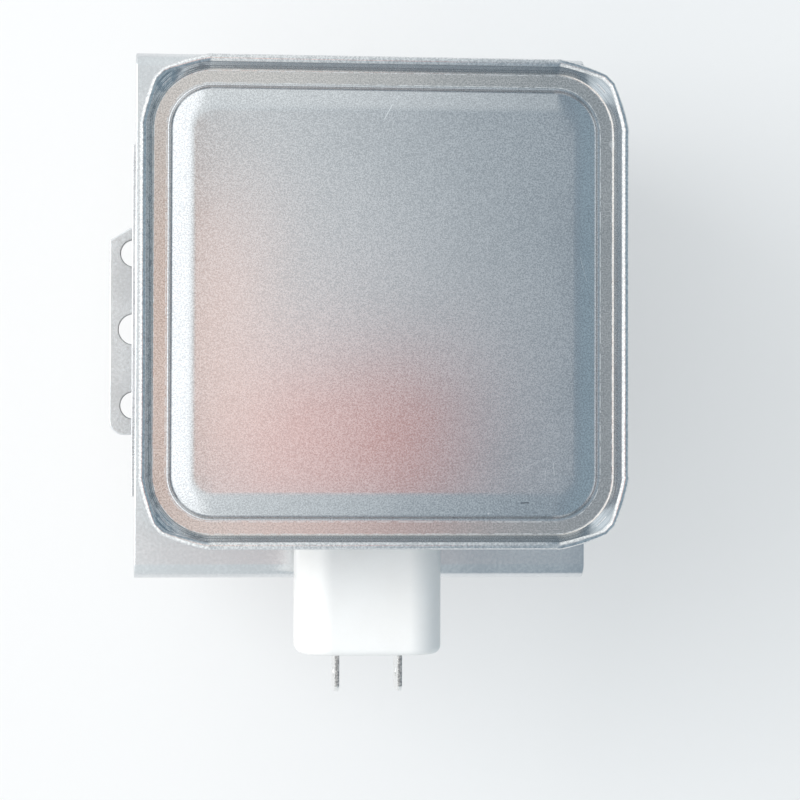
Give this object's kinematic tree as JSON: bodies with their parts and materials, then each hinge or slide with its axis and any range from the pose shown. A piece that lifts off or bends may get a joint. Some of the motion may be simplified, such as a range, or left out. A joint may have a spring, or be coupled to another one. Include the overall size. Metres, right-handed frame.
{
  "type": "magnetron",
  "caption": "Microwave-oven magnetron: finned anode between ferrite rings in a steel yoke, a filter box with a crimped lid and white connector, and an antenna below its mounting plate.",
  "frame": {"origin": "on the tube's axis, in the mounting plate's outer face, at the centre of its bolt holes", "axes": "+Z from the mounting plate to the lid of the filter box, so the antenna points along -Z; the connector leaves along -Y, and the mounting ears stand out along X"},
  "size_m": [0.092, 0.1126, 0.12],
  "materials": {
    "zinc_steel": "galvanised sheet with a fine grain",
    "ferrite": "ground dark ferrite",
    "copper": "bright copper",
    "soft_iron": "pressed iron",
    "cathode_metal": "grey refractory metal",
    "plated_steel": "satin nickel plate",
    "pink_alumina": "matt fired alumina",
    "white_alumina": "matt fired alumina",
    "wire_mesh": "knitted wire",
    "fin_aluminium": "mill finish sheet",
    "enamelled_wire": "enamelled copper wire",
    "white_plastic": "moulded, satin",
    "tinned_brass": "tinned"
  },
  "bodies": {
    "root": {"mounting_plate": "zinc_steel", "yoke_frame": "zinc_steel", "filter_box": "zinc_steel", "filter_lid": "zinc_steel", "capacitor_flange": "zinc_steel", "output_magnet": "ferrite", "input_magnet": "ferrite", "left_choke_core": "ferrite", "right_choke_core": "ferrite", "anode_shell": "copper", "anode_vanes": "copper", "strap_rings": "copper", "antenna_lead": "copper", "exhaust_tube": "copper", "output_pole": "soft_iron", "input_pole": "soft_iron", "cathode_filament": "cathode_metal", "lower_end_hat": "cathode_metal", "upper_end_hat": "cathode_metal", "centre_lead": "cathode_metal", "side_lead": "cathode_metal", "output_sleeve": "plated_steel", "input_sleeve": "plated_steel", "antenna_cap": "plated_steel", "stem_eyelets": "plated_steel", "box_rivets": "plated_steel", "flange_rivets": "plated_steel", "output_ceramic": "pink_alumina", "stem_ceramic": "white_alumina", "capacitor_block": "white_alumina", "rf_gasket": "wire_mesh", "cooling_fin_1": "fin_aluminium", "cooling_fin_2": "fin_aluminium", "cooling_fin_3": "fin_aluminium", "cooling_fin_4": "fin_aluminium", "cooling_fin_5": "fin_aluminium", "left_choke_coil": "enamelled_wire", "right_choke_coil": "enamelled_wire", "inner_case": "white_plastic", "connector_shroud": "white_plastic", "left_terminal": "tinned_brass", "right_terminal": "tinned_brass"}
  },
  "joints": []
}
